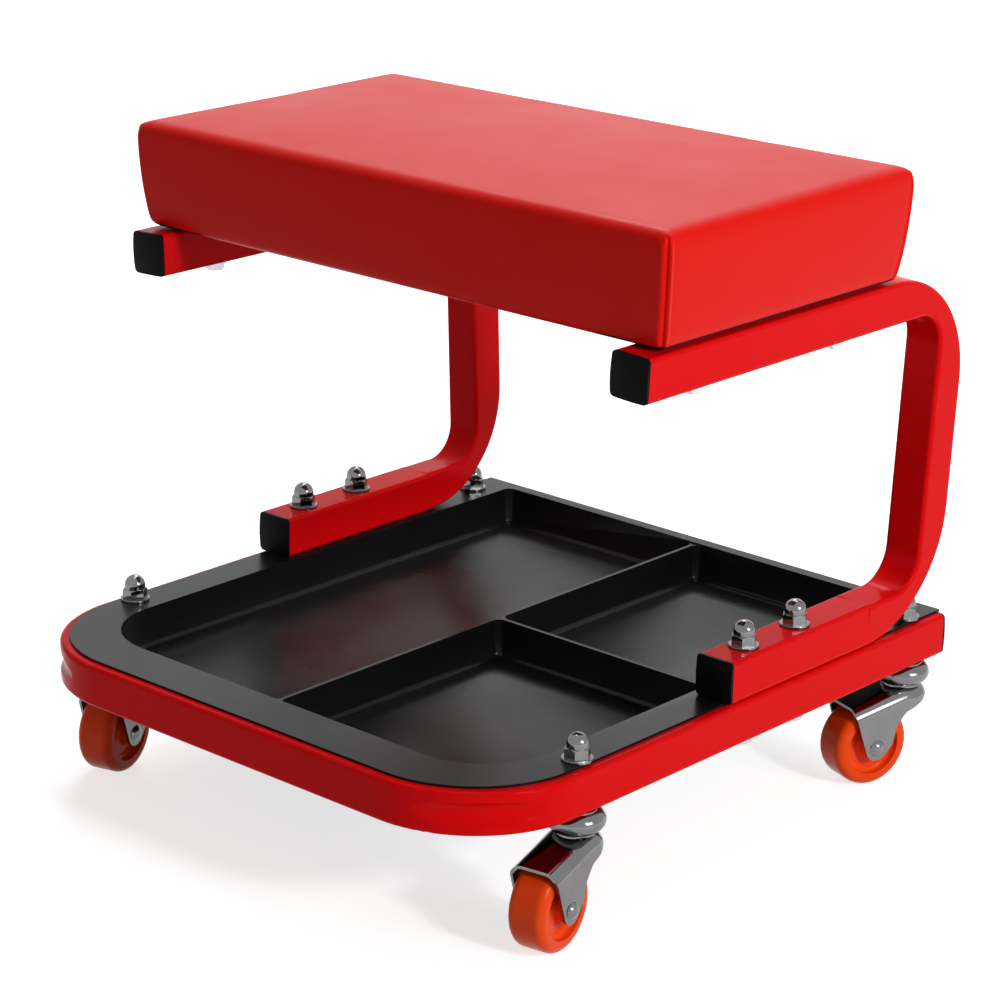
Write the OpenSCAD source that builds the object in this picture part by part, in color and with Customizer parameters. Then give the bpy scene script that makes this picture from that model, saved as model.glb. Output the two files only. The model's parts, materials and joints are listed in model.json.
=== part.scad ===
// Creeper seat: a padded stool on a U-shaped tube base with a tool tray and four swivel casters.
// +Z is up, the closed front of the base faces -Y, and the origin is on the floor under the middle.

/* [Tube] */
// Width and height of the square tube that the base and the side arms are bent from
tube_w = 25; // [22:0.5:28]
// Wall thickness of the tube
tube_wall = 1.5; // [1.2:0.1:2]
// Outer radius of the tube's long edges
tube_edge_r = 2.5; // [2.2:0.1:3.5]

/* [Base frame] */
// Width over the two side rails
base_w = 374; // [362:1:386]
// Length from the front face to the back of the rail end caps
base_l = 413; // [406:1:422]
// Outer radius of the two front corners
base_corner_r = 74; // [68:1:82]
// Depth of the groove that the bender leaves round each front corner
crimp_depth = 3; // [1:0.5:4]
// Section radius of that groove
crimp_r = 9.5; // [7:0.5:10.5]

/* [Tray] */
// Wall thickness of the moulded tray
tray_wall = 1.5; // [1.2:0.1:2.2]
// Depth of the three compartments below the top of the rim
tray_depth = 24; // [16:0.5:26]
// Width of the rim that lies on the side rails
tray_side_rim = 23.5; // [22.5:0.5:25]
// Width of the rim that lies on the front tube
tray_front_rim = 31; // [26:1:38]
// Width of the narrow rim at the open back
tray_back_rim = 8; // [5:0.5:12]
// How far the rim stays inside the outer face of the rails
tray_inset = 5.5; // [5:0.5:8]
// Outer radius of the rim's two front corners
tray_corner_r = 69; // [60:1:76]
// Inner radius of the two front pockets at those corners
pocket_corner_r = 46; // [40:1:52]
// Radius of the other corners of the pockets
pocket_small_r = 5.5; // [3:0.5:8]
// Radius between a pocket's walls and its floor
pocket_floor_r = 3; // [1.5:0.5:5]
// How far a pocket narrows from its mouth to its floor, on each side
pocket_draft = 1.5; // [0.5:0.25:3]
// Thickness of the two dividers
divider_t = 2; // [1.5:0.1:3]
// How far the dividers stay below the top of the rim
divider_drop = 1; // [0.5:0.25:3]
// Where the cross divider stands, measured back from the middle of the base
cross_divider_y = 13; // [-20:1:40]

/* [Side arms] */
// Height of a side arm over both of its legs
arm_h = 219.5; // [205:0.5:235]
// Outer radius of the bends of a side arm
arm_bend_r = 71; // [66:1:78]
// Inner radius of those bends, where the tube is pressed flatter than elsewhere
arm_inner_bend_r = 21; // [17:1:26]
// How far each side arm leans outwards, in degrees
arm_lean = 2.5; // [0.5:0.25:2.75]
// Distance from the back face of the upright to the back of the base
arm_back_gap = 10; // [6:0.5:13]
// Length of the lower leg, cap included
lower_leg_l = 201; // [190:1:212]
// Length of the top leg, cap included
top_leg_l = 293; // [282:1:304]
// Distance from the front of the lower leg to its first bolt
first_bolt_gap = 27.5; // [20:0.5:34]
// Distance between the two bolts of a lower leg
bolt_pitch = 47; // [38:1:54]

/* [Caps] */
// Thickness of an end cap's flange at its edge
cap_t = 2; // [1.5:0.1:3]
// Height of the dome on an end cap
cap_dome = 1; // [0.5:0.1:1.5]
// Length of the plug that sits in the tube
cap_plug_l = 6; // [4:0.5:6.5]

/* [Seat] */
// How far the cushion reaches past the outer face of each rail
seat_overhang = 11; // [10.5:0.5:15]
// Depth of the cushion from front to back
seat_l = 218; // [204:1:232]
// Height of the cushion with its board, from the hem to the middle of the crown
seat_h = 63.5; // [54:0.5:76]
// How far the middle of the cushion lies behind the middle of the base
seat_y = 20; // [12:1:28]
// Height of the crown over the top edges
seat_crown = 3.5; // [2:0.5:8]
// Radius of the cushion's top edges
seat_edge_r = 8; // [6:0.5:12]
// Radius of the cushion's upright corners
seat_corner_r = 7; // [6:0.5:14]
// How far the sides draw in from the shoulder to the board
seat_taper = 5; // [2:0.5:8]
// Thickness of the vinyl cover
cover_t = 1; // [0.8:0.1:1.5]
// Width of the hem that is turned under the board
hem_w = 33; // [24:1:40]
// Thickness of the seat board
board_t = 10; // [8:0.5:15]
// Distance between the front and back seat bolts
seat_bolt_pitch = 124; // [90:1:140]

/* [Casters] */
// Height of a caster from the floor to the underside of the rail
caster_h = 72.5; // [71.5:0.5:78]
// Diameter of a wheel
wheel_d = 50; // [46:0.5:50.5]
// Width of a wheel's tread
wheel_w = 22.5; // [18:0.5:24]
// Gap between a wheel and its fork on each side
wheel_side_gap = 2; // [1:0.25:2.5]
// Horizontal distance from the stem to the axle
trail = 26; // [25:0.5:29]
// Thickness of the pressed fork
fork_t = 1.6; // [1.2:0.1:2]
// Outer radius of the fork's two long edges
fork_edge_r = 8; // [5:0.5:9]
// Slope of the fork's roof in degrees
fork_slope = 12.5; // [10:0.5:14]
// Diameter of the raceway cup
cup_d = 33; // [31:0.5:34]
// Height of the raceway cup
cup_h = 13.5; // [12.5:0.5:14]
// Number of balls in a raceway
ball_count = 12; // [10:1:13]
// Diameter of a raceway ball
ball_d = 4; // [3.6:0.1:4.2]
// Diameter of the axle rivet
axle_d = 6; // [5:0.25:7]
// Diameter of the axle rivet's head
rivet_head_d = 10; // [9:0.5:12]
// Distance from the front of the base to the front stems
front_stem_gap = 88; // [82:1:96]
// Distance from the back of the base to the rear stems
rear_stem_gap = 26; // [20:0.5:30]
// Turn of the front left caster in degrees, as it stands in the photograph
turn_front_left = 16; // [-60:1:60]
// Turn of the front right caster in degrees
turn_front_right = 9; // [-60:1:60]
// Turn of the rear right caster in degrees
turn_rear_right = -19; // [-60:1:60]

/* [Fasteners] */
// Thread diameter of the caster stems and the arm bolts
m8_d = 8; // [7:0.5:9]
// Width across flats of their nuts and heads
m8_flats = 13; // [12:0.5:14]
// Outer diameter of their washers
m8_washer_d = 17.5; // [16:0.5:20]
// Thread diameter of the seat bolts
m6_d = 6; // [5:0.5:6.5]
// Width across flats of their heads
m6_flats = 10; // [9:0.5:11]
// Outer diameter of their washers
m6_washer_d = 14; // [12:0.5:16]
// Thickness of every washer
washer_t = 1.6; // [1.2:0.1:2]

/* [Hidden] */
$fn = 64;

// Radial gap between a pin or plug and what it sits in
fit_gap = 0.05;
// Gap round a part that turns, and between a soft part and its neighbour
run_gap = 0.3;
// Overrun of every cut
over = 1;
// Radial gap of a bolt hole
hole_gap = 0.2;

// Colours
red_paint = [0.78, 0.05, 0.05];
black_plastic = [0.06, 0.06, 0.07];
chrome_steel = [0.80, 0.81, 0.83];
zinc_steel = [0.70, 0.71, 0.74];
orange_plastic = [0.93, 0.35, 0.06];
red_vinyl = [0.86, 0.06, 0.06];
foam_yellow = [0.90, 0.82, 0.55];
plywood = [0.76, 0.60, 0.40];

// Levels, upwards
rail_z = caster_h;
rail_top = rail_z + tube_w;
rim_top = rail_top + tray_wall;
// The lower legs lie level, and the rest of each arm leans about the axis of its lower leg
arm_axis_z = rim_top + tube_w / 2;
arm_rise = arm_h - tube_w;
arm_top = arm_axis_z + (arm_rise + tube_w / 2 - tube_edge_r) * cos(arm_lean)
    + (tube_w / 2 - tube_edge_r) * sin(arm_lean) + tube_edge_r;
seat_z = arm_top + run_gap;
board_z = seat_z + cover_t + run_gap;
board_top = board_z + board_t;

// Base frame
front_y = -base_l / 2;
back_y = base_l / 2;
cap_h = cap_t + cap_dome;
rail_x = base_w / 2 - tube_w / 2;
rail_end = back_y - cap_h;
// The arms, bolts and casters stand over the middle of the rails
fixing_x = rail_x;
seat_bolt_x = fixing_x + arm_rise * sin(arm_lean);
seat_w = base_w + 2 * seat_overhang;
corner_mid_r = base_corner_r - tube_w / 2;
corner_y = front_y + base_corner_r;
corner_x = base_w / 2 - base_corner_r;
inner_edge_r = max(tube_edge_r - tube_wall, tube_edge_r / 4);
// The groove's path is flatter than the corner, so that it fades out at both ends
crimp_path_r = base_corner_r * 1.55;
crimp_half_turn = 25;

// Arms
arm_back = back_y - arm_back_gap;
lower_front = arm_back - lower_leg_l;
top_front = arm_back - top_leg_l;
bend_y = arm_back - arm_bend_r;
bend_mid_r = arm_bend_r - tube_w / 2;
bolt_y = [lower_front + first_bolt_gap, lower_front + first_bolt_gap + bolt_pitch];
seat_bolt_y = [seat_y - seat_bolt_pitch / 2, seat_y + seat_bolt_pitch / 2];

// Casters: place and turn of each
stem_y = [front_y + front_stem_gap, back_y - rear_stem_gap];
front_left = [-fixing_x, stem_y[0], turn_front_left];
front_right = [fixing_x, stem_y[0], turn_front_right];
// The hidden rear left caster is turned as the mirror image of the front right one
rear_left = [-fixing_x, stem_y[1], -turn_front_right];
rear_right = [fixing_x, stem_y[1], turn_rear_right];
casters = [front_left, front_right, rear_left, rear_right];
wheel_r = wheel_d / 2;
plate_top = caster_h - cup_h - run_gap;
plate_z = plate_top - fork_t;
hub_l = wheel_w + 2 * wheel_side_gap;
fork_inner_w = hub_l + 2 * run_gap;
fork_w = fork_inner_w + 2 * fork_t;
cup_roll_r = cup_h * 0.46;
cup_ring_r = cup_d / 2 - cup_roll_r;
ball_path_r = cup_ring_r - fork_t;
stem_head_h = fork_t * 1.5;
m8_r = m8_d / 2;
m6_r = m6_d / 2;
dome_nut_h = m8_d * 0.74;
dome_neck_h = m8_d * 0.24;
m8_thread_reach = dome_nut_h + dome_neck_h + m8_r * 0.4;
seat_washer_z = arm_axis_z + arm_rise * cos(arm_lean) - tube_w / 2 / cos(arm_lean)
    - m6_washer_d / 2 * tan(arm_lean) - washer_t;
bush_r = axle_d / 2 + fork_t;

// Tray
rim_w = base_w - 2 * tray_inset;
rim_front = front_y + tray_inset;
pocket_x = rim_w / 2 - tray_side_rim;
pocket_front = rim_front + tray_front_rim;
pocket_back = back_y - tray_back_rim;
pocket_z = rim_top - tray_depth;
divider_top = rim_top - divider_drop;

// A rectangle with rounded corners, centred
module round_rect(width, height, r) {
    square([width - 2 * r, height], center = true);
    square([width, height - 2 * r], center = true);
    for (x = [-1, 1], y = [-1, 1])
        translate([x * (width / 2 - r), y * (height / 2 - r)])
            circle(r = r);
}

// The tube's section, drawn in by a given amount on every side
module tube_section(inset) {
    r = inset > 0 ? inner_edge_r : tube_edge_r;
    round_rect(tube_w - 2 * inset, tube_w - 2 * inset, r);
}

// Extrude a section along Y from y0 to y1
module run_y(y0, y1) {
    translate([0, y0, 0])
        rotate([-90, 0, 0])
            linear_extrude(y1 - y0)
                children();
}

// Extrude a section along X from x0 to x1
module run_x(x0, x1) {
    translate([x0, 0, 0])
        rotate([0, 90, 0])
            linear_extrude(x1 - x0)
                children();
}

// The U of the base as a solid, its section drawn in and its ends run on by given amounts
module base_path(inset, end_over) {
    translate([0, 0, rail_z + tube_w / 2]) {
        for (s = [-1, 1])
            translate([s * rail_x, 0, 0])
                run_y(corner_y, rail_end + end_over)
                    tube_section(inset);
        translate([0, front_y + tube_w / 2, 0])
            run_x(-corner_x, corner_x)
                tube_section(inset);
        for (s = [0, 1])
            mirror([s, 0, 0])
                translate([corner_x, corner_y, 0])
                    rotate(-90)
                        rotate_extrude(angle = 90)
                            translate([corner_mid_r, 0])
                                tube_section(inset);
    }
}

// The groove round each front corner, grown by the wall for the inside of the tube
module corner_grooves(grow) {
    mid_r = base_corner_r - crimp_depth + crimp_r;
    for (s = [0, 1])
        mirror([s, 0, 0])
            translate([corner_x, corner_y, rail_z + tube_w / 2])
                rotate(-45)
                    translate([mid_r - crimp_path_r, 0, 0])
                        rotate(-crimp_half_turn)
                            rotate_extrude(angle = 2 * crimp_half_turn)
                                translate([crimp_path_r, 0])
                                    circle(r = crimp_r + grow);
}

// Round holes through the rails and the rim for the stems and the arm bolts
module rail_holes() {
    for (s = [-1, 1], y = concat(stem_y, bolt_y))
        translate([s * fixing_x, y, rail_z - over])
            cylinder(r = m8_r + hole_gap, h = tube_w + tray_wall + 2 * over);
}

module base_frame() {
    color(red_paint)
        difference() {
            base_path(0, 0);
            corner_grooves(0);
            difference() {
                base_path(tube_wall, over);
                corner_grooves(tube_wall);
            }
            rail_holes();
        }
}

// An end cap with its face towards +Y: a plug in the tube and a domed flange over its end
module end_cap() {
    dome_r = (pow(tube_w / 2, 2) + pow(cap_dome, 2)) / (2 * cap_dome);
    plug = tube_wall + fit_gap;
    run_y(-cap_plug_l, 0)
        difference() {
            round_rect(tube_w - 2 * plug, tube_w - 2 * plug, inner_edge_r);
            square(tube_w - 2 * plug - 4 * cap_t, center = true);
        }
    intersection() {
        run_y(0, cap_h)
            tube_section(0);
        translate([0, cap_h - dome_r, 0])
            sphere(r = dome_r, $fn = 240);
    }
}

module rail_end_caps() {
    color(black_plastic)
        for (s = [-1, 1])
            translate([s * rail_x, rail_end, rail_z + tube_w / 2])
                end_cap();
}

// Outline of the rim: round corners at the front, square ones at the back
module rim_outline() {
    r = tray_corner_r;
    half = rim_w / 2;
    translate([-half, rim_front + r])
        square([rim_w, back_y - rim_front - r]);
    translate([-half + r, rim_front])
        square([rim_w - 2 * r, r]);
    for (s = [-1, 1])
        translate([s * (half - r), rim_front + r])
            circle(r = r);
}

// One slice of a pocket between two corners, with its own radius at each of them
module pocket_slice(p0, p1, radii, inset, z) {
    corners = [[p0.x, p0.y], [p1.x, p0.y], [p1.x, p1.y], [p0.x, p1.y]];
    inward = [[1, 1], [-1, 1], [-1, -1], [1, -1]];
    for (i = [0 : 3]) {
        r = max(radii[i] - inset, pocket_floor_r / 2);
        translate([
            corners[i].x + inward[i].x * (inset + r), corners[i].y + inward[i].y * (inset + r), z
        ])
            cylinder(r = r, h = over / 100, $fn = 32);
    }
}

// A pocket that narrows to its floor and is rounded there; grow makes the wall's outside from it
module pocket(p0, p1, radii, grow, top) {
    floor_z = pocket_z - grow;
    hull() {
        pocket_slice(p0, p1, radii, -grow, top);
        pocket_slice(p0, p1, radii, pocket_draft - grow, floor_z + pocket_floor_r);
        pocket_slice(p0, p1, radii, pocket_draft + pocket_floor_r * 0.3 - grow,
            floor_z + pocket_floor_r * 0.3);
        pocket_slice(p0, p1, radii, pocket_draft + pocket_floor_r - grow, floor_z);
    }
}

module tray() {
    half_t = divider_t / 2;
    big = pocket_corner_r;
    small = pocket_small_r;
    left = [[-pocket_x, pocket_front], [-half_t, pocket_back]];
    right_front = [[half_t, pocket_front], [pocket_x, cross_divider_y - half_t]];
    right_back = [[half_t, cross_divider_y + half_t], [pocket_x, pocket_back]];
    color(black_plastic)
        difference() {
            union() {
                translate([0, 0, rail_top])
                    linear_extrude(tray_wall)
                        rim_outline();
                pocket([-pocket_x, pocket_front], [pocket_x, pocket_back],
                    [big, big, small, small], tray_wall, rail_top);
            }
            pocket(left[0], left[1], [big, small, small, small], 0, rim_top + over);
            pocket(right_front[0], right_front[1], [small, big, small, small], 0, rim_top + over);
            pocket(right_back[0], right_back[1], [small, small, small, small], 0, rim_top + over);
            translate([-half_t - small, pocket_front, divider_top])
                cube([divider_t + 2 * small, pocket_back - pocket_front, over * 3]);
            translate([0, cross_divider_y - half_t - small, divider_top])
                cube([pocket_x, divider_t + 2 * small, over * 3]);
            rail_holes();
        }
}

// What a bend leaves out on its inner side, seen along the tube with its middle at the origin
module bend_cut(inset, reach) {
    difference() {
        translate([-tube_w, 0])
            square([2 * tube_w, reach]);
        tube_section(inset);
    }
}

// The upper bend of an arm with the corner of its outer faces at the origin. Its outer radius is
// large and its inner radius small, so the tube is thinner in the middle of the bend
module arm_bend(inset) {
    reach = arm_bend_r + over;
    inner = tube_w + arm_inner_bend_r;
    inner_mid_r = arm_inner_bend_r + tube_w / 2;
    difference() {
        translate([0, -arm_bend_r, -arm_bend_r])
            rotate([90, 0, 90])
                rotate_extrude(angle = 90) {
                    translate([bend_mid_r, 0])
                        tube_section(inset);
                    translate([0, inset - tube_w / 2])
                        square([bend_mid_r, tube_w - 2 * inset]);
                }
        translate([0, 0, -tube_w / 2])
            run_y(-reach, -inner)
                bend_cut(inset, reach);
        translate([0, -tube_w / 2, -reach])
            linear_extrude(reach - inner)
                mirror([0, 1, 0])
                    bend_cut(inset, reach);
        translate([0, -inner, -inner])
            rotate([90, 0, 90])
                rotate_extrude(angle = 90)
                    difference() {
                        translate([0, -tube_w])
                            square([inner_mid_r, 2 * tube_w]);
                        translate([inner_mid_r, 0])
                            tube_section(inset);
                    }
    }
}

// The C of the right arm as a solid, seen from the axis of its lower leg, its section drawn in
// and its ends run on by given amounts
module arm_path(inset, end_over) {
    // The level leg reaches a little into the leaning bend
    run_y(lower_front + cap_h - end_over, bend_y + over)
        tube_section(inset);
    rotate([0, arm_lean, 0]) {
        translate([0, 0, arm_rise])
            run_y(top_front + cap_h - end_over, bend_y)
                tube_section(inset);
        translate([0, arm_back - tube_w / 2, arm_bend_r - tube_w / 2])
            linear_extrude(arm_h - 2 * arm_bend_r)
                tube_section(inset);
        translate([0, arm_back, arm_rise + tube_w / 2])
            arm_bend(inset);
    }
    // The leaning lower bend stays level where it leaves the rim
    intersection() {
        rotate([0, arm_lean, 0])
            translate([0, arm_back, -tube_w / 2])
                mirror([0, 0, 1])
                    arm_bend(inset);
        translate([-2 * tube_w, bend_y - over, inset - tube_w / 2])
            cube([4 * tube_w, 2 * arm_bend_r, 2 * arm_bend_r]);
    }
}

module side_arm() {
    color(red_paint)
        difference() {
            arm_path(0, 0);
            arm_path(tube_wall, over);
            for (y = bolt_y)
                translate([0, y, -tube_w / 2 - over])
                    cylinder(r = m8_r + hole_gap, h = tube_w + 2 * over);
            for (y = seat_bolt_y)
                translate([seat_bolt_x - fixing_x, y, arm_rise - tube_w])
                    cylinder(r = m6_r + hole_gap, h = 2 * tube_w);
        }
}

// Place something that belongs to the right arm, and its mirror image for the left one
module at_arm(side) {
    mirror([side < 0 ? 1 : 0, 0, 0])
        translate([fixing_x, 0, arm_axis_z])
            children();
}

module left_side_arm() {
    at_arm(-1)
        side_arm();
}

module right_side_arm() {
    at_arm(1)
        side_arm();
}

module top_arm_caps() {
    color(black_plastic)
        for (side = [-1, 1])
            at_arm(side)
                rotate([0, arm_lean, 0])
                    translate([0, top_front + cap_h, arm_rise])
                        rotate(180)
                            end_cap();
}

module lower_arm_caps() {
    color(black_plastic)
        for (side = [-1, 1])
            at_arm(side)
                translate([0, lower_front + cap_h, 0])
                    rotate(180)
                        end_cap();
}

// A hexagon prism by its width across flats
module hexagon(flats, height) {
    cylinder(d = flats / cos(30), h = height, $fn = 6);
}

// A hexagon whose top corners are turned down to a cone
module hex_head(flats, height) {
    intersection() {
        hexagon(flats, height);
        cylinder(r1 = flats / 2 + height, r2 = flats / 2, h = height);
    }
}

module washer(outer_d, bolt_r) {
    difference() {
        cylinder(d = outer_d, h = washer_t);
        translate([0, 0, -over])
            cylinder(r = bolt_r + hole_gap, h = washer_t + 2 * over);
    }
}

// A dome nut: a hexagon, a short neck and a round cap, with a blind hole for the thread
module dome_nut() {
    cap_r = m8_flats / 2 - run_gap;
    difference() {
        union() {
            hex_head(m8_flats, dome_nut_h);
            cylinder(r = cap_r, h = dome_nut_h + dome_neck_h);
            translate([0, 0, dome_nut_h + dome_neck_h])
                intersection() {
                    sphere(r = cap_r);
                    cylinder(r = cap_r + over, h = cap_r + over);
                }
        }
        translate([0, 0, -over])
            cylinder(r = m8_r + fit_gap, h = m8_thread_reach + fit_gap + over);
    }
}

// Places of the four arm bolts
module at_arm_bolts(z) {
    for (s = [-1, 1], y = bolt_y)
        translate([s * fixing_x, y, z])
            children();
}

// Places of the four stems
module at_stems(z) {
    for (c = casters)
        translate([c.x, c.y, z])
            children();
}

// Places of the four seat bolts
module at_seat_bolts(z) {
    for (s = [-1, 1], y = seat_bolt_y)
        translate([s * seat_bolt_x, y, z])
            children();
}

module arm_bolts() {
    head_h = m8_d * 0.66;
    shank = tube_w * 2 + tray_wall + washer_t + m8_thread_reach;
    color(zinc_steel)
        at_arm_bolts(rail_z) {
            mirror([0, 0, 1])
                hex_head(m8_flats, head_h);
            cylinder(r = m8_r, h = shank);
        }
}

module arm_washers() {
    color(chrome_steel)
        at_arm_bolts(rim_top + tube_w)
            washer(m8_washer_d, m8_r);
}

module arm_dome_nuts() {
    color(chrome_steel)
        at_arm_bolts(rim_top + tube_w + washer_t)
            dome_nut();
}

module caster_washers() {
    color(chrome_steel)
        at_stems(rim_top)
            washer(m8_washer_d, m8_r);
}

module caster_dome_nuts() {
    color(chrome_steel)
        at_stems(rim_top + washer_t)
            dome_nut();
}

// A caster's own place and turn; its axle lies towards -Y before it is turned
module at_caster(c) {
    translate([c.x, c.y, 0])
        rotate(c[2])
            children();
}

// The stem: a threaded bolt through cup, rail and rim, closed under the fork by a riveted head
module stem() {
    top = rim_top + washer_t + m8_thread_reach;
    head_z = plate_z - fit_gap * 2 - stem_head_h;
    color(zinc_steel) {
        translate([0, 0, head_z])
            cylinder(r1 = m8_r * 1.4, r2 = m8_r * 1.6, h = stem_head_h);
        translate([0, 0, head_z])
            cylinder(r = m8_r, h = top - head_z);
    }
}

// The upper cup of the raceway: a pressed ring with a rolled outer edge over the balls
module raceway_cup() {
    color(chrome_steel)
        translate([0, 0, plate_top + run_gap])
            difference() {
                union() {
                    translate([0, 0, cup_roll_r * 1.05])
                        rotate_extrude()
                            translate([cup_ring_r, 0])
                                circle(r = cup_roll_r);
                    cylinder(r = cup_ring_r + fork_t, h = cup_h);
                }
                translate([0, 0, -over])
                    difference() {
                        cylinder(r = ball_path_r + ball_d * 0.6, h = ball_d + over);
                        translate([0, 0, -over])
                            cylinder(r = ball_path_r - ball_d * 0.6, h = ball_d + 3 * over);
                    }
                translate([0, 0, -over])
                    cylinder(r = m8_r + fit_gap, h = cup_h + 2 * over);
            }
}

module balls() {
    color(zinc_steel)
        for (i = [0 : ball_count - 1])
            rotate(i * 360 / ball_count)
                translate([ball_path_r, 0, plate_top + ball_d / 2 + fit_gap])
                    sphere(d = ball_d, $fn = 24);
}

// Half plane sections of the fork: a channel with rounded upper edges, drawn in by inset
module channel_section(inset) {
    r = fork_edge_r - inset;
    width = fork_w - 2 * inset;
    translate([-width / 2, -caster_h])
        square([width, caster_h - inset - r]);
    translate([-width / 2 + r, -inset - 2 * r])
        square([width - 2 * r, 2 * r]);
    for (s = [-1, 1])
        translate([s * (width / 2 - r), -inset - r])
            circle(r = r);
}

// The fork's outer or inner form: a channel that slopes over the wheel, cut to a level one that
// ends in a half round about the stem
module fork_form(inset) {
    knee = trail * 0.25;
    reach = trail * 2;
    intersection() {
        translate([0, -knee, plate_top])
            rotate([90 + fork_slope, 0, 0])
                translate([0, 0, -reach])
                    linear_extrude(reach * 2)
                        channel_section(inset);
        translate([0, 0, plate_top]) {
            rotate([90, 0, 0])
                linear_extrude(reach)
                    channel_section(inset);
            rotate_extrude(angle = 180)
                intersection() {
                    channel_section(inset);
                    translate([0, -caster_h])
                        square([fork_w, caster_h]);
                }
        }
    }
}

// Where a line from point p touches a circle about c, on the side given by its sign
function touch(p, c, r, side) =
    let (d = norm(p - c), a = atan2(p.y - c.y, p.x - c.x) + side * acos(r / d))
        [c.x + r * cos(a), c.y + r * sin(a)];

// The fork seen from the side: back edge, round foot about the axle, front edge
back_edge_shares = [
    [-0.7, 1.02], [-0.7, 0.92], [-0.4, 0.89], [-0.23, 0.84], [0.02, 0.79], [0.21, 0.76], [0.3, 0.72],
    [0.47, 0.62], [0.57, 0.44]
];
front_edge_shares = [1.6, 0.8];
module fork_side() {
    axle = [trail, wheel_r];
    foot_r = axle_d * 1.3;
    back = [for (p = back_edge_shares) [p.x * trail, p.y * plate_top]];
    front = [front_edge_shares.x * trail, front_edge_shares.y * plate_top];
    rotate([90, 0, -90])
        translate([0, 0, -fork_w])
            linear_extrude(2 * fork_w) {
                polygon(concat(
                    [[front.x, plate_top * 1.02]],
                    back,
                    [
                        touch(back[len(back) - 1], axle, foot_r, 1), axle,
                        touch(front, axle, foot_r, -1), front
                    ]
                ));
                translate(axle)
                    circle(r = foot_r);
            }
}

module fork() {
    color(chrome_steel)
        difference() {
            union() {
                intersection() {
                    difference() {
                        fork_form(0);
                        fork_form(fork_t);
                    }
                    fork_side();
                }
                translate([0, 0, plate_z])
                    cylinder(r = ball_path_r + ball_d * 0.6, h = fork_t);
            }
            translate([0, 0, plate_z - over])
                cylinder(r = m8_r + 2 * fit_gap, h = fork_t + 2 * over);
            translate([-fork_w, -trail, wheel_r])
                rotate([0, 90, 0])
                    cylinder(r = axle_d / 2 + fit_gap, h = 2 * fork_w);
        }
}

// A rivet across the fork with a domed head on each side
module axle() {
    head_h = rivet_head_d * 0.28;
    dome_r = (pow(rivet_head_d / 2, 2) + pow(head_h, 2)) / (2 * head_h);
    color(chrome_steel)
        translate([0, -trail, wheel_r]) {
            rotate([0, 90, 0])
                translate([0, 0, -fork_w / 2 - fit_gap])
                    cylinder(d = axle_d, h = fork_w + 2 * fit_gap);
            for (s = [-1, 1])
                translate([s * (fork_w / 2 + fit_gap), 0, 0])
                    rotate([0, s * 90, 0])
                        intersection() {
                            translate([0, 0, head_h - dome_r])
                                sphere(r = dome_r);
                            cylinder(d = rivet_head_d, h = head_h);
                        }
        }
}

module bush() {
    color(zinc_steel)
        translate([0, -trail, wheel_r])
            rotate([0, 90, 0])
                translate([0, 0, -hub_l / 2])
                    difference() {
                        cylinder(r = bush_r, h = hub_l);
                        translate([0, 0, -over])
                            cylinder(r = axle_d / 2 + 2 * fit_gap, h = hub_l + 2 * over);
                    }
}

// A solid wheel with rounded shoulders, dished sides and a hub
module wheel() {
    shoulder_r = wheel_w * 0.21;
    hub_r = bush_r + wheel_r * 0.1;
    dish_r = wheel_r * 0.7;
    dish_depth = wheel_w * 0.2;
    color(orange_plastic)
        translate([0, -trail, wheel_r])
            rotate([0, 90, 0])
                difference() {
                    union() {
                        rotate_extrude()
                            intersection() {
                                round_rect(wheel_d, wheel_w, shoulder_r);
                                translate([0, -wheel_w])
                                    square([wheel_r, 2 * wheel_w]);
                            }
                        cylinder(r = hub_r, h = hub_l, center = true);
                    }
                    for (s = [-1, 1])
                        translate([0, 0, s * wheel_w / 2])
                            rotate_extrude()
                                translate([(hub_r + dish_r) / 2, 0])
                                    round_rect(dish_r - hub_r, 2 * dish_depth, dish_depth * 0.6);
                    cylinder(r = bush_r + fit_gap, h = 2 * hub_l, center = true);
                }
}

// Points round a rounded rectangle whose sides draw in between its corners
arc_steps = 5;
edge_steps = 5;
waist_share = 0.008;
function corner_points(i, hx, hy, r) = [
    for (k = [0 : arc_steps])
        let (a = 90 * i + 90 * k / arc_steps)
            [
                (i == 0 || i == 3 ? 1 : -1) * (hx - r) + r * cos(a),
                (i < 2 ? 1 : -1) * (hy - r) + r * sin(a)
            ]
];
function edge_points(a, b) = [for (k = [1 : edge_steps - 1]) a + (b - a) * k / edge_steps];
function outline(hx, hy, r) = [
    for (i = [0 : 3])
        let (now = corner_points(i, hx, hy, r), next = corner_points((i + 1) % 4, hx, hy, r))
            each concat(now, edge_points(now[arc_steps], next[0]))
];
function waisted(p, hx, hy) = [
    p.x * (1 - waist_share * (1 - pow(p.y / hy, 2))), p.y * (1 - waist_share * (1 - pow(p.x / hx, 2)))
];
function seat_ring(inset, z, shrink) =
    let (
        hx = (seat_w / 2 - inset) * shrink,
        hy = (seat_l / 2 - inset) * shrink,
        r = max(seat_corner_r - inset, seat_corner_r / 5) * shrink
    )
        [for (p = outline(hx, hy, r)) let (q = waisted(p, hx, hy)) [q.x, q.y + seat_y, z]];

// How far the side is drawn in at height z, from nothing at the shoulder to the full taper
shoulder_z = seat_z + seat_h - seat_crown - seat_edge_r;
function draw_in(z) = seat_taper * pow((shoulder_z - z) / (shoulder_z - seat_z), 2);

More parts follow.
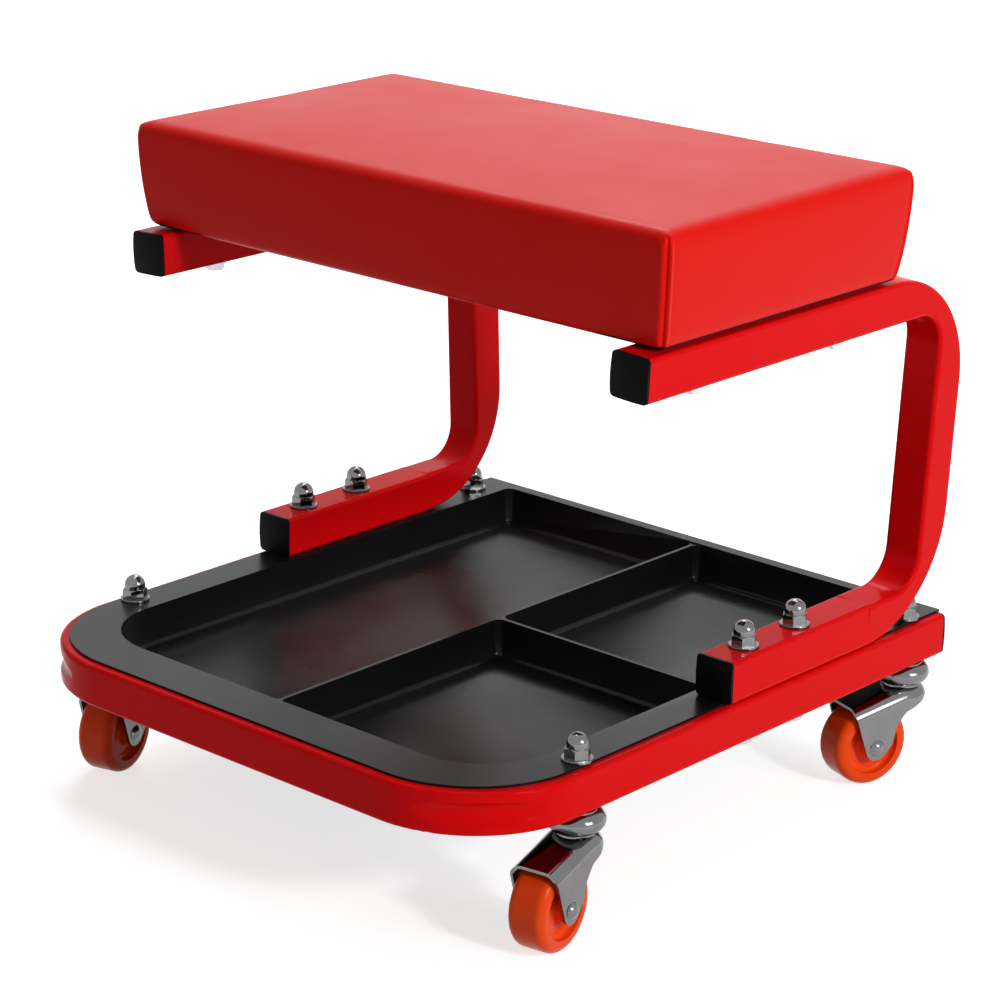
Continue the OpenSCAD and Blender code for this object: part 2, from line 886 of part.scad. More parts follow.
// Rings of the cushion from its bottom edge over its shoulder to the crown, drawn in by gap
wall_shares = [0.35, 0.7];
crown_shares = [0.94, 0.8, 0.6, 0.38, 0.18];
round_steps = 4;
function seat_rings(gap, bottom, foot) =
    let (
        r = seat_edge_r - gap,
        low = gap + draw_in(bottom + foot),
        wall = shoulder_z - bottom - foot
    )
        concat(
            [
                seat_ring(low + foot, bottom, 1),
                seat_ring(low + foot * 0.3, bottom + foot * 0.3, 1),
                seat_ring(low, bottom + foot, 1)
            ],
            [
                for (share = wall_shares)
                    let (z = bottom + foot + wall * share)
                        seat_ring(gap + draw_in(z), z, 1)
            ],
            [
                for (k = [0 : round_steps])
                    let (a = 90 * k / round_steps)
                        seat_ring(seat_edge_r - r * cos(a), shoulder_z + r * sin(a), 1)
            ],
            [
                for (share = crown_shares)
                    seat_ring(seat_edge_r, shoulder_z + r + seat_crown * (1 - share * share), share)
            ]
        );

// A closed skin over a stack of rings, shut by a fan at each end
module skin(rings) {
    n = len(rings[0]);
    count = len(rings);
    points = concat(
        [for (ring = rings) each ring],
        [[0, seat_y, rings[0][0].z], [0, seat_y, rings[count - 1][0].z + seat_crown * 0.03]]
    );
    sides = [
        for (j = [0 : count - 2], i = [0 : n - 1])
            let (a = j * n + i, b = j * n + (i + 1) % n)
                each [[a, b + n, b], [a, a + n, b + n]]
    ];
    ends = [
        for (i = [0 : n - 1])
            each [
                [i, (i + 1) % n, count * n],
                [(count - 1) * n + (i + 1) % n, (count - 1) * n + i, count * n + 1]
            ]
    ];
    polyhedron(points = points, faces = concat(sides, ends), convexity = 4);
}

// Outline of the seat board, inside the cover
seat_foot_r = seat_edge_r / 4;
board_inset = seat_taper + cover_t / 2 + run_gap + seat_foot_r;
module board_outline(inset) {
    translate([0, seat_y])
        round_rect(seat_w - 2 * board_inset - 2 * inset, seat_l - 2 * board_inset - 2 * inset,
            max(seat_corner_r - inset / 4, seat_corner_r / 2));
}

t_nut_flange = washer_t;
t_nut_r = m6_r * 1.35;
t_nut_flange_r = t_nut_r * 1.5;
module seat_board() {
    color(plywood)
        difference() {
            translate([0, 0, board_z])
                linear_extrude(board_t)
                    board_outline(0);
            at_seat_bolts(board_z - over)
                cylinder(r = t_nut_r + fit_gap, h = board_t + 2 * over);
            at_seat_bolts(board_top - t_nut_flange)
                cylinder(r = t_nut_flange_r + fit_gap, h = t_nut_flange + over);
        }
}

module seat_t_nuts() {
    color(zinc_steel)
        at_seat_bolts(board_z)
            difference() {
                union() {
                    cylinder(r = t_nut_r, h = board_t);
                    translate([0, 0, board_t - t_nut_flange])
                        cylinder(r = t_nut_flange_r, h = t_nut_flange);
                }
                translate([0, 0, -over])
                    cylinder(r = m6_r + fit_gap, h = board_t + 2 * over);
            }
}

// The foam block, cut to the cushion's form inside the cover
module seat_foam() {
    color(foam_yellow)
        skin(seat_rings(cover_t + run_gap, board_top + run_gap, run_gap));
}

// The vinyl cover: a skin over foam and board with its hem turned under the board
module seat_cover() {
    color(red_vinyl)
        difference() {
            skin(seat_rings(0, seat_z, seat_foot_r));
            skin(seat_rings(cover_t, seat_z + cover_t, seat_foot_r - cover_t / 2));
            translate([0, 0, seat_z - over])
                linear_extrude(cover_t + 2 * over)
                    board_outline(hem_w);
            at_seat_bolts(seat_z - over)
                cylinder(r = m6_r + run_gap, h = cover_t + 2 * over);
        }
}

module seat_bolts() {
    head_h = m6_d * 0.67;
    color(zinc_steel)
        at_seat_bolts(seat_washer_z) {
            mirror([0, 0, 1])
                hex_head(m6_flats, head_h);
            cylinder(r = m6_r, h = board_top - seat_washer_z);
        }
}

module seat_bolt_washers() {
    color(zinc_steel)
        at_seat_bolts(seat_washer_z)
            washer(m6_washer_d, m6_r);
}

base_frame();
rail_end_caps();
tray();
left_side_arm();
right_side_arm();
top_arm_caps();
lower_arm_caps();
arm_bolts();
arm_washers();
arm_dome_nuts();
caster_washers();
caster_dome_nuts();
seat_board();
seat_foam();
seat_cover();
seat_bolts();
seat_bolt_washers();
seat_t_nuts();
at_caster(front_left) stem();  // front_left_stem
at_caster(front_left) raceway_cup();  // front_left_raceway_cup
at_caster(front_left) balls();  // front_left_balls
at_caster(front_left) fork();  // front_left_fork
at_caster(front_left) axle();  // front_left_axle
at_caster(front_left) bush();  // front_left_bush
at_caster(front_left) wheel();  // front_left_wheel
at_caster(front_right) stem();  // front_right_stem
at_caster(front_right) raceway_cup();  // front_right_raceway_cup
at_caster(front_right) balls();  // front_right_balls
at_caster(front_right) fork();  // front_right_fork
at_caster(front_right) axle();  // front_right_axle
at_caster(front_right) bush();  // front_right_bush
at_caster(front_right) wheel();  // front_right_wheel
at_caster(rear_left) stem();  // rear_left_stem
at_caster(rear_left) raceway_cup();  // rear_left_raceway_cup
at_caster(rear_left) balls();  // rear_left_balls
at_caster(rear_left) fork();  // rear_left_fork
at_caster(rear_left) axle();  // rear_left_axle
at_caster(rear_left) bush();  // rear_left_bush
at_caster(rear_left) wheel();  // rear_left_wheel
at_caster(rear_right) stem();  // rear_right_stem
at_caster(rear_right) raceway_cup();  // rear_right_raceway_cup
at_caster(rear_right) balls();  // rear_right_balls
at_caster(rear_right) fork();  // rear_right_fork
at_caster(rear_right) axle();  // rear_right_axle
at_caster(rear_right) bush();  // rear_right_bush
at_caster(rear_right) wheel();  // rear_right_wheel
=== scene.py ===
# %% [markdown]
# # A creeper seat
# A low padded stool on casters: a red tube base bent to a U, a moulded black tool tray on it, two
# red side arms bent to a C, and a vinyl cushion across them. The solids come from the CAD model, so
# this lesson adds what a solid can't show: the stuffed cushion with its folded corners, the softened
# edges of moulded and pressed pieces, and every finish.

# %% Load the CAD pieces
import json
import math

import bmesh
import bpy
from mathutils import Matrix, Vector, noise
from mathutils.bvhtree import BVHTree


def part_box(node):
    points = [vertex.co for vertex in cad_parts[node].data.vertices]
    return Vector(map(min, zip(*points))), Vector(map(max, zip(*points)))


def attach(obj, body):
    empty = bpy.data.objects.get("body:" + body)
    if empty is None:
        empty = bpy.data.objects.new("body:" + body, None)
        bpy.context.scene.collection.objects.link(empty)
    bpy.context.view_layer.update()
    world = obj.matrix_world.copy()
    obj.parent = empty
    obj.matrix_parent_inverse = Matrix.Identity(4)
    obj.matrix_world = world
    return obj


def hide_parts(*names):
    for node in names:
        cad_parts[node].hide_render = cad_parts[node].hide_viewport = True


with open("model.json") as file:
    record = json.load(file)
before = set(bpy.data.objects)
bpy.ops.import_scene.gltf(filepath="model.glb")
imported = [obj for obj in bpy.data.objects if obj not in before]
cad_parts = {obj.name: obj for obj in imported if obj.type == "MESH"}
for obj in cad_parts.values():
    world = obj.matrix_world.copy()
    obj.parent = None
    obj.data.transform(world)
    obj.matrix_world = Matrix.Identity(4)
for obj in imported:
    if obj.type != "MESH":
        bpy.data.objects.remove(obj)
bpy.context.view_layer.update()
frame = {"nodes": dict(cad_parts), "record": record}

nodes = frame["nodes"]
mm = 0.001

# %% [markdown]
# The photograph was taken with a long lens from the front right, a little above the seat. The camera
# was solved from the edges, nuts and wheels in it: where it stands, what it looks at, and how far it
# leans.

# %% The camera
look_at = Vector((11.0, -8.08, 176.18)) * mm
distance = 1826.2 * mm
azimuth, elevation, lean = (math.radians(v) for v in (41.91, 18.53, 0.87))
back = Vector((math.sin(azimuth) * math.cos(elevation), -math.cos(azimuth) * math.cos(elevation),
               math.sin(elevation)))
level_right = Vector((math.cos(azimuth), math.sin(azimuth), 0))
level_up = back.cross(level_right)
right = level_right * math.cos(lean) + level_up * math.sin(lean)
up = level_up * math.cos(lean) - level_right * math.sin(lean)

camera = bpy.data.objects.new("camera", bpy.data.cameras.new("camera"))
bpy.context.scene.collection.objects.link(camera)
turn = Matrix((right, up, back)).transposed().to_4x4()
camera.matrix_world = Matrix.Translation(look_at + back * distance) @ turn
camera.data.sensor_width = 36
camera.data.lens = 113.665
camera.data.shift_x, camera.data.shift_y = 0.0095, 0.0045
camera.data.clip_start, camera.data.clip_end = 0.05, 50
bpy.context.scene.camera = camera
bpy.context.scene.view_settings.view_transform = "Standard"
print("the camera stands at", [round(v, 3) for v in camera.matrix_world.translation])

# %% [markdown]
# The next helpers are used all through the lesson: one for meshes, and four for node trees.

# %% Helpers for meshes and materials
def new_mesh_object(name, bm):
    """A mesh object made from a bmesh, linked to the scene, at the origin."""
    mesh = bpy.data.meshes.new(name)
    bm.to_mesh(mesh)
    bm.free()
    made = bpy.data.objects.new(name, mesh)
    bpy.context.scene.collection.objects.link(made)
    return made


def new_node(tree, kind, operation=None, **values):
    """A node of a tree, with its operation and the values of its named inputs."""
    made = tree.nodes.new("ShaderNode" + kind)
    if operation:
        made.operation = operation
    for name, value in values.items():
        made.inputs[name.replace("_", " ")].default_value = value
    return made


def link_all(tree, *pairs):
    """Link the first socket of each pair to the second."""
    for giver, taker in pairs:
        tree.links.new(giver, taker)


def shader_tree(name):
    """A new material with only an output and a Principled shader, its tree, and the shader."""
    material = bpy.data.materials.new(name)
    material.use_nodes = True
    tree = material.node_tree
    tree.nodes.clear()
    output = new_node(tree, "OutputMaterial")
    shader = new_node(tree, "BsdfPrincipled")
    link_all(tree, (shader.outputs[0], output.inputs[0]))
    return material, tree, shader


def seen_rays(tree):
    """1 for rays from the camera, from mirrors and through glass, and 0 for the light that falls."""
    rays = new_node(tree, "LightPath")
    most = rays.outputs["Is Camera Ray"]
    for other in ("Is Glossy Ray", "Is Transmission Ray"):
        greater = new_node(tree, "Math", "MAXIMUM")
        link_all(tree, (most, greater.inputs[0]), (rays.outputs[other], greater.inputs[1]))
        most = greater.outputs[0]
    return most


# %% [markdown]
# A studio with a white floor and a white sky. The camera, mirrors and glass see both as white, while
# the light that they give the object is weak, so the lamps shape it. The floor is part paint and part
# glow, so it stays white and still takes the shadow. Its glow grows with the distance from the stool,
# because the lamps light it less there.

# %% The floor
floor_half_size = 6
bm = bmesh.new()
bmesh.ops.create_grid(bm, x_segments=1, y_segments=1, size=floor_half_size)
floor = new_mesh_object("floor", bm)
material, tree, shader = shader_tree("white_floor")
shader.inputs["Base Color"].default_value = (0.8, 0.8, 0.8, 1)
shader.inputs["Roughness"].default_value = 0.8
shader.inputs["Specular IOR Level"].default_value = 0.0
shader.inputs["Emission Color"].default_value = (1, 1, 1, 1)
place = new_node(tree, "TexCoord")
away = new_node(tree, "VectorMath", "LENGTH")
far_glow = new_node(tree, "MapRange", From_Min=0.5, From_Max=1.6, To_Min=0.72, To_Max=1.0)
glow = new_node(tree, "Math", "MULTIPLY")
link_all(tree, (place.outputs["Object"], away.inputs[0]),
         (away.outputs["Value"], far_glow.inputs["Value"]),
         (seen_rays(tree), glow.inputs[0]),
         (far_glow.outputs["Result"], glow.inputs[1]),
         (glow.outputs[0], shader.inputs["Emission Strength"]))
floor.data.materials.append(material)
print("the floor reaches", floor_half_size, "m each way")

# %% The sky
world = bpy.data.worlds.new("studio")
world.use_nodes = True
bpy.context.scene.world = world
sky = world.node_tree
sky.nodes.clear()
seen = new_node(sky, "Background", Color=(1, 1, 1, 1), Strength=1.0)
lighting = new_node(sky, "Background", Color=(0.95, 0.97, 1, 1), Strength=0.14)
choose = new_node(sky, "MixShader")
sky_out = new_node(sky, "OutputWorld")
link_all(sky, (seen_rays(sky), choose.inputs[0]), (lighting.outputs[0], choose.inputs[1]),
         (seen.outputs[0], choose.inputs[2]), (choose.outputs[0], sky_out.inputs[0]))
print("the sky's light is", lighting.inputs["Strength"].default_value)


# %% [markdown]
# Five lamps. A large one on the right lights the right-hand faces, a soft one above the level ones,
# and a low, wide one at the back left slides over the seat top and pales it. Two smaller ones, beside
# the large right one and high at the back left, draw the bright lines along the rounded edges.

# %% The lamps
lit_point = Vector((0, 0, 0.2))


def soft_light(name, place, size, watts):
    """A rectangular lamp that faces the middle of the stool."""
    lamp = bpy.data.lights.new(name, "AREA")
    lamp.shape, lamp.size, lamp.size_y = "RECTANGLE", size[0], size[1]
    lamp.energy = watts
    holder = bpy.data.objects.new(name, lamp)
    bpy.context.scene.collection.objects.link(holder)
    holder.location = place
    aim = lit_point - Vector(place)
    holder.rotation_euler = aim.to_track_quat("-Z", "Y").to_euler()


soft_light("right_lamp", (2.7, 0.1, 1.1), (1.2, 1.0), 19)
soft_light("sun_lamp", (2.5, -0.25, 1.35), (0.3, 0.3), 25)
soft_light("overhead_lamp", (-0.3, 0.7, 2.6), (1.5, 1.5), 26)
soft_light("sky_lamp", (-1.3, 1.55, 1.95), (0.8, 0.6), 11)
soft_light("back_left_lamp", (-1.6, 1.85, 0.9), (2.6, 1.2), 1.6)
print("lamps:", [light.name for light in bpy.data.lights])

# %% [markdown]
# Finishes. Fine grain, and a colour and gloss that vary a little over the piece, are the same effects
# on paint, plastic, chrome and vinyl, only in other amounts, so each is one node group.

# %% Shared effects as node groups
def new_group(name, inputs, outputs):
    """An empty node group with its named sockets, and its nodes of given and resulting values."""
    group = bpy.data.node_groups.new(name, "ShaderNodeTree")
    for way, sockets in (("INPUT", inputs), ("OUTPUT", outputs)):
        for title, kind in sockets.items():
            group.interface.new_socket(name=title, in_out=way, socket_type="NodeSocket" + kind)
    return group, group.nodes.new("NodeGroupInput"), group.nodes.new("NodeGroupOutput")


def colour_mix(tree):
    """A node that blends two colours."""
    made = new_node(tree, "Mix")
    made.data_type = "RGBA"
    return made


def mottle_group():
    """Soft cloudy variation of a colour, and of a roughness, over the piece."""
    group, given, result = new_group(
        "cloudy_variation",
        {"Colour": "Color", "Second colour": "Color", "Scale": "Float",
         "Low roughness": "Float", "High roughness": "Float"},
        {"Colour": "Color", "Roughness": "Float"})
    place = new_node(group, "TexCoord")
    cloud = new_node(group, "TexNoise", Detail=4)
    blend = colour_mix(group)
    spread = new_node(group, "MapRange", From_Min=0.3, From_Max=0.7)
    link_all(group, (place.outputs["Object"], cloud.inputs["Vector"]),
             (given.outputs["Scale"], cloud.inputs["Scale"]),
             (cloud.outputs["Fac"], blend.inputs["Factor"]),
             (given.outputs["Colour"], blend.inputs["A"]),
             (given.outputs["Second colour"], blend.inputs["B"]),
             (cloud.outputs["Fac"], spread.inputs["Value"]),
             (given.outputs["Low roughness"], spread.inputs["To Min"]),
             (given.outputs["High roughness"], spread.inputs["To Max"]),
             (blend.outputs["Result"], result.inputs["Colour"]),
             (spread.outputs["Result"], result.inputs["Roughness"]))
    return group


def grain_group():
    """Fine grain as a normal: the orange skin of paint, the texture of plastic, vinyl's pores."""
    group, given, result = new_group(
        "fine_grain", {"Scale": "Float", "Strength": "Float", "Depth": "Float"},
        {"Normal": "Vector"})
    place = new_node(group, "TexCoord")
    grain = new_node(group, "TexNoise", Detail=3)
    bump = new_node(group, "Bump")
    link_all(group, (place.outputs["Object"], grain.inputs["Vector"]),
             (given.outputs["Scale"], grain.inputs["Scale"]),
             (grain.outputs["Fac"], bump.inputs["Height"]),
             (given.outputs["Strength"], bump.inputs["Strength"]),
             (given.outputs["Depth"], bump.inputs["Distance"]),
             (bump.outputs["Normal"], result.inputs["Normal"]))
    return group


cloudy_variation = mottle_group()
fine_grain = grain_group()
print("groups:", [g.name for g in bpy.data.node_groups])


# %% A finish made of both effects
def place_group(tree, group, **values):
    """A node of one of the groups, with its inputs set."""
    made = new_node(tree, "Group")
    made.node_tree = group
    for name, value in values.items():
        made.inputs[name.replace("_", " ").capitalize()].default_value = value
    return made


def plain_finish(name, colour, second, scale, roughness, grain, metallic=0.0, specular=0.5):
    """A material made of the two shared effects, with its constants on the shader's own sockets.

    The colour goes over into the second one and the roughness runs from low to high in clouds of
    the scale; the grain has a scale, a strength and a depth.
    """
    material, tree, shader = shader_tree(name)
    cloud = place_group(tree, cloudy_variation, colour=(*colour, 1), second_colour=(*second, 1),
                        scale=scale, low_roughness=roughness[0], high_roughness=roughness[1])
    fine = place_group(tree, fine_grain, scale=grain[0], strength=grain[1], depth=grain[2])
    link_all(tree, (cloud.outputs["Colour"], shader.inputs["Base Color"]),
             (cloud.outputs["Roughness"], shader.inputs["Roughness"]),
             (fine.outputs["Normal"], shader.inputs["Normal"]))
    shader.inputs["Metallic"].default_value = metallic
    shader.inputs["Specular IOR Level"].default_value = specular
    return material


# %% [markdown]
# The paint is a baked powder coat: saturated and glossy, with hardly any white in its reflections.
# Everything round the stool is white, so the chrome gets a dark colour of its own for the dark things
# that real chrome mirrors. The tray is satin black plastic.

# %% Paint, plastic, metal and wood
red_paint = plain_finish("red_gloss_paint", (0.80, 0.003, 0.005), (0.76, 0.003, 0.004), 6,
                         (0.16, 0.20), (700, 0.04, 0.0002), specular=0.03)
tray_plastic = plain_finish("black_tray_plastic", (0.004, 0.004, 0.0045),
                            (0.006, 0.006, 0.0065), 14,
                            (0.24, 0.32), (1500, 0.08, 0.0001), specular=0.16)
cap_plastic = plain_finish("black_cap_plastic", (0.003, 0.003, 0.0033), (0.005, 0.005, 0.0055), 40,
                           (0.40, 0.50), (2200, 0.15, 0.0001), specular=0.04)
bright_chrome = plain_finish("bright_chrome", (0.215, 0.218, 0.222), (0.16, 0.162, 0.165), 60,
                             (0.07, 0.13), (1600, 0.03, 0.0001), metallic=1.0)
zinc_steel = plain_finish("zinc_steel", (0.6, 0.6, 0.62), (0.5, 0.5, 0.53), 90,
                          (0.28, 0.4), (1600, 0.12, 0.0001), metallic=1.0)
bare_plywood = plain_finish("bare_plywood", (0.55, 0.38, 0.22), (0.42, 0.27, 0.14), 25,
                            (0.6, 0.75), (500, 0.3, 0.0003))
yellow_foam = plain_finish("yellow_foam", (0.8, 0.68, 0.36), (0.74, 0.6, 0.3), 60,
                           (0.9, 0.95), (700, 0.6, 0.0008))
orange_wheel = plain_finish("orange_wheel", (0.95, 0.075, 0.003), (0.88, 0.06, 0.002), 40,
                            (0.22, 0.30), (1400, 0.06, 0.0001), specular=0.12)
red_vinyl = plain_finish("red_vinyl", (0.80, 0.008, 0.003), (0.76, 0.006, 0.002), 16,
                         (0.30, 0.36), (1300, 0.25, 0.0002), specular=0.055)
red_vinyl.node_tree.nodes["Principled BSDF"].inputs["Sheen Weight"].default_value = 0.03
print("materials:", [m.name for m in bpy.data.materials])


# %% A dark strip of painted shade where the vinyl lies over the arms
def paint_shade_over_arms(material, level, inner, fade=0.4 * mm):
    """Darken the finish below a level, where it is further than the inner distance from x = 0:
    painted shade, where shade falls between the vinyl and the arm tops.
    """
    tree = material.node_tree
    shader = tree.nodes["Principled BSDF"]
    plain = shader.inputs["Base Color"].links[0].from_socket
    place = new_node(tree, "TexCoord")
    split = new_node(tree, "SeparateXYZ")
    low = new_node(tree, "MapRange", From_Min=level, From_Max=level + fade, To_Min=1.0, To_Max=0.0)
    size = new_node(tree, "Math", "ABSOLUTE")
    outer = new_node(tree, "Math", "GREATER_THAN")
    outer.inputs[1].default_value = inner
    both = new_node(tree, "Math", "MULTIPLY")
    strip = colour_mix(tree)
    # The strip's near-black colour is painted shade, not a dark material.
    strip.inputs["B"].default_value = (0.006, 0.005, 0.005, 1)
    link_all(tree, (place.outputs["Object"], split.inputs[0]),
             (split.outputs["Z"], low.inputs["Value"]),
             (split.outputs["X"], size.inputs[0]),
             (size.outputs[0], outer.inputs[0]),
             (low.outputs["Result"], both.inputs[0]),
             (outer.outputs[0], both.inputs[1]),
             (both.outputs[0], strip.inputs["Factor"]),
             (plain, strip.inputs["A"]),
             (strip.outputs["Result"], shader.inputs["Base Color"]))


# Painted shade along the cushion's bottom edge over the arms, where the vinyl sits on the arm tops.
shade_strip_height, arms_from = 2.2 * mm, 150 * mm
paint_shade_over_arms(red_vinyl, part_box("seat_cover")[0].z + shade_strip_height, arms_from)
print("the strip is", round(shade_strip_height / mm, 1), "mm high")

# %% Each CAD piece gets its finish
finishes = {"red_paint": red_paint, "tray_plastic": tray_plastic, "black_plastic": cap_plastic,
            "bright_steel": bright_chrome, "zinc_steel": zinc_steel, "plywood": bare_plywood,
            "foam": yellow_foam, "red_vinyl": red_vinyl, "orange_plastic": orange_wheel}
slot_of = {part["node"]: part["material_slot"] for part in frame["record"]["subparts"]}
body_of_node = {node: body for body, held in frame["record"]["behaviour"]["bodies"].items()
                for node in held}
for name, piece in nodes.items():
    piece.data.materials.clear()
    piece.data.materials.append(finishes[slot_of[name]])
print(len(finishes), "finishes on", len(slot_of), "pieces")

# %% [markdown]
# Pressed, moulded and turned pieces have small rounded edges that catch the light. Each such CAD node
# is copied, its triangles are merged back to whole faces, and its sharp edges get a narrow bevel. The
# copy stands for the node.

# %% Softened edges
weld = 0.002 * mm
flat_within = math.radians(0.2)


def merged_copy(name, title):
    """A copy of a CAD node with its triangles joined to whole faces, at the origin."""
    bm = bmesh.new()
    bm.from_mesh(nodes[name].data)
    bmesh.ops.remove_doubles(bm, verts=bm.verts, dist=weld)
    bmesh.ops.dissolve_degenerate(bm, edges=bm.edges, dist=weld)
    bmesh.ops.dissolve_limit(bm, angle_limit=flat_within, verts=bm.verts, edges=bm.edges,
                             use_dissolve_boundaries=False, delimit=set())
    made = new_mesh_object(title, bm)
    made.data.materials.append(finishes[slot_of[name]])
    return made


def soften(name, width, angle, segments=2):
    """Stand a copy in for a CAD node, with a bevel on the edges that are sharper than the angle."""
    piece = merged_copy(name, name + "_finished")
    bevel = piece.modifiers.new("soft_edges", "BEVEL")
    bevel.width = width
    bevel.segments = segments
    bevel.limit_method = "ANGLE"
    bevel.angle_limit = math.radians(angle)
    piece.data.shade_smooth()
    piece.data.set_sharp_from_angle(angle=math.radians(angle))
    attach(piece, body_of_node[name])
    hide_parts(name)


soften("tray", 1.1 * mm, angle=50, segments=3)
for corner in ("front_left", "front_right", "rear_left", "rear_right"):
    soften(corner + "_fork", 0.3 * mm, angle=50)
for name in ("arm_dome_nuts", "caster_dome_nuts", "arm_washers", "caster_washers"):
    soften(name, 0.25 * mm, angle=28)

# %% [markdown]
# The cushion is a foam block on a board, pulled tight in vinyl that is stapled underneath. The cover
# bulges a little between its edges, draws in towards the smaller board, and is folded to an upright
# pleat at each corner. The form starts as a block a little smaller than the CAD cushion. A cloth
# simulation with air pressure inside swells it while its bottom edge is held, as staples hold it.

# %% The cushion before it is stuffed
seat_low, seat_high = (Vector(v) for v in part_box("seat_cover"))
seat_middle = (seat_low + seat_high) / 2
half_x, half_y = (seat_high.x - seat_low.x) / 2, (seat_high.y - seat_low.y) / 2
edge_r, corner_r, bottom_r = 5.5 * mm, 6 * mm, 3 * mm
crown, taper, slack = 3.5 * mm, 5 * mm, 0.5 * mm
shoulder = seat_high.z - crown - edge_r
round_segments, face_size, crown_share = 5, 4 * mm, 0.5


def part_of(value, start, end):
    """How far a value is on its way from start to end, held between 0 and 1."""
    return min(max((value - start) / (end - start), 0), 1)


def draw_in(z):
    """How far the walls stand in at a level, as the board is smaller than the foam."""
    share = part_of(z, shoulder, seat_low.z)
    return taper * share * share


def round_edges(bm, edges, radius):
    """Round the edges to the radius."""
    bmesh.ops.bevel(bm, geom=edges, offset=radius, offset_type="OFFSET", segments=round_segments,
                    profile=0.5, affect="EDGES", material=-1)


def rounded_block():
    """The block, with rounded upright, upper and lower edges."""
    bm = bmesh.new()
    bmesh.ops.create_cube(bm, size=1)
    tall = seat_high.z - crown - slack - seat_low.z
    bmesh.ops.scale(bm, vec=(2 * (half_x - slack), 2 * (half_y - slack), tall), verts=bm.verts)
    bmesh.ops.translate(bm, vec=(seat_middle.x, seat_middle.y, seat_low.z + tall / 2),
                        verts=bm.verts)
    upright = [e for e in bm.edges if abs(e.verts[0].co.z - e.verts[1].co.z) > tall / 2]
    round_edges(bm, upright, corner_r - slack)
    for level, radius in ((seat_low.z + tall, edge_r - slack), (seat_low.z, bottom_r)):
        rim = [e for e in bm.edges if max(abs(v.co.z - level) for v in e.verts) < 0.01 * mm]
        round_edges(bm, rim, radius)
    return new_mesh_object("cushion", bm)


def keep_modifiers(piece):
    """Keep what the modifiers make of the piece, and drop them."""
    bpy.context.view_layer.update()
    shown = piece.evaluated_get(bpy.context.evaluated_depsgraph_get())
    mesh = bpy.data.meshes.new_from_object(shown)
    piece.modifiers.clear()
    piece.data = mesh


cushion = rounded_block()
remesh = cushion.modifiers.new("even_faces", "REMESH")
remesh.mode = "VOXEL"
remesh.voxel_size = face_size
keep_modifiers(cushion)
for vertex in cushion.data.vertices:
    place = vertex.co - seat_middle
    inset = draw_in(vertex.co.z)
    middle_share = (1 - (place.x / half_x) ** 2) * (1 - (place.y / half_y) ** 2)
    above = part_of(vertex.co.z, shoulder, shoulder + edge_r)
    vertex.co.x = seat_middle.x + place.x * (1 - inset / half_x)
    vertex.co.y = seat_middle.y + place.y * (1 - inset / half_y)
    vertex.co.z += crown_share * crown * middle_share * above
print("the block has", len(cushion.data.vertices), "points")


# %% The simulation
held_height, last_frame, swelling = 4 * mm, 20, 1.0 * mm


def stuff(piece, most):
    """Swell the piece with air, its bottom held, and scale the swelling to a largest step."""
    start = [v.co.copy() for v in piece.data.vertices]
    held = piece.vertex_groups.new(name="held")
    held.add([i for i, p in enumerate(start) if p.z < seat_low.z + held_height], 1.0, "REPLACE")
    cloth = piece.modifiers.new("cloth", "CLOTH")
    settings = cloth.settings
    settings.quality = 5
    settings.mass = 0.3
    settings.tension_stiffness = settings.compression_stiffness = 30
    settings.shear_stiffness = 15
    settings.bending_stiffness = 3
    settings.use_pressure = True
    settings.uniform_pressure_force = 4
    settings.effector_weights.gravity = 0
    settings.vertex_group_mass = "held"
    cloth.collision_settings.use_collision = False
    cloth.point_cache.frame_start, cloth.point_cache.frame_end = 1, last_frame
    for number in range(1, last_frame + 1):
        bpy.context.scene.frame_set(number)
    shown = piece.evaluated_get(bpy.context.evaluated_depsgraph_get())
    moved = [v.co.copy() for v in shown.data.vertices]
    piece.modifiers.clear()
    bpy.context.scene.frame_set(1)
    furthest = max((new - old).length for new, old in zip(moved, start))
    share = min(1, most / furthest)
    for vertex, old, new in zip(piece.data.vertices, start, moved):
        vertex.co = old + (new - old) * share
    return furthest


furthest = stuff(cushion, swelling)
print("the furthest point moved", round(furthest / mm, 1), "mm, scaled to",
      round(swelling / mm, 1), "mm")

# %% [markdown]
# The swollen cover is smoothed once and refined where the pleats are. It is then folded at its
# corners, filled out to the photograph's outline and pulled in above its hem.

# %% Finer faces at the corners
smoother = cushion.modifiers.new("rounder", "SUBSURF")
smoother.levels = smoother.render_levels = 1
keep_modifiers(cushion)
finer_reach, finest_reach, pleat_reach = 19 * mm, 14 * mm, 15 * mm


def corner_place(co):
    """The nearest corner's signs, and how far a point is from its sharp outline in x and y."""
    side_x = math.copysign(1, co.x - seat_middle.x)
    side_y = math.copysign(1, co.y - seat_middle.y)
    inset = draw_in(co.z)
    short_x = half_x - inset - abs(co.x - seat_middle.x)
    short_y = half_y - inset - abs(co.y - seat_middle.y)
    return side_x, side_y, short_x, short_y


def near_corner(co, reach):
    """True within a reach of an upright corner."""
    short_x, short_y = corner_place(co)[2:]
    return max(short_x, short_y) < reach


def refine_corners(bm):
    """Smaller faces round the upright corners, smoothed so that the old facets don't show."""
    for reach in (finer_reach, finest_reach):
        edges = [e for e in bm.edges if all(near_corner(v.co, reach) for v in e.verts)]
        bmesh.ops.subdivide_edges(bm, edges=edges, cuts=1, use_grid_fill=True)
    inner = [v for v in bm.verts
             if near_corner(v.co, pleat_reach) and v.co.z > seat_low.z + bottom_r]
    for turn_number in range(6):
        bmesh.ops.smooth_vert(bm, verts=inner, factor=0.5, use_axis_x=True, use_axis_y=True,
                              use_axis_z=True)


bm = bmesh.new()
bm.from_mesh(cushion.data)
refine_corners(bm)
print("the cover has", len(bm.faces), "faces")

# %% The pleats
pleat_angle = math.radians(38)


def hump(along, height, centre, width):
    """The height of a rounded ridge, or of a groove if it is negative, at a place across it."""
    return height * math.exp(-((along - centre) / width) ** 2)


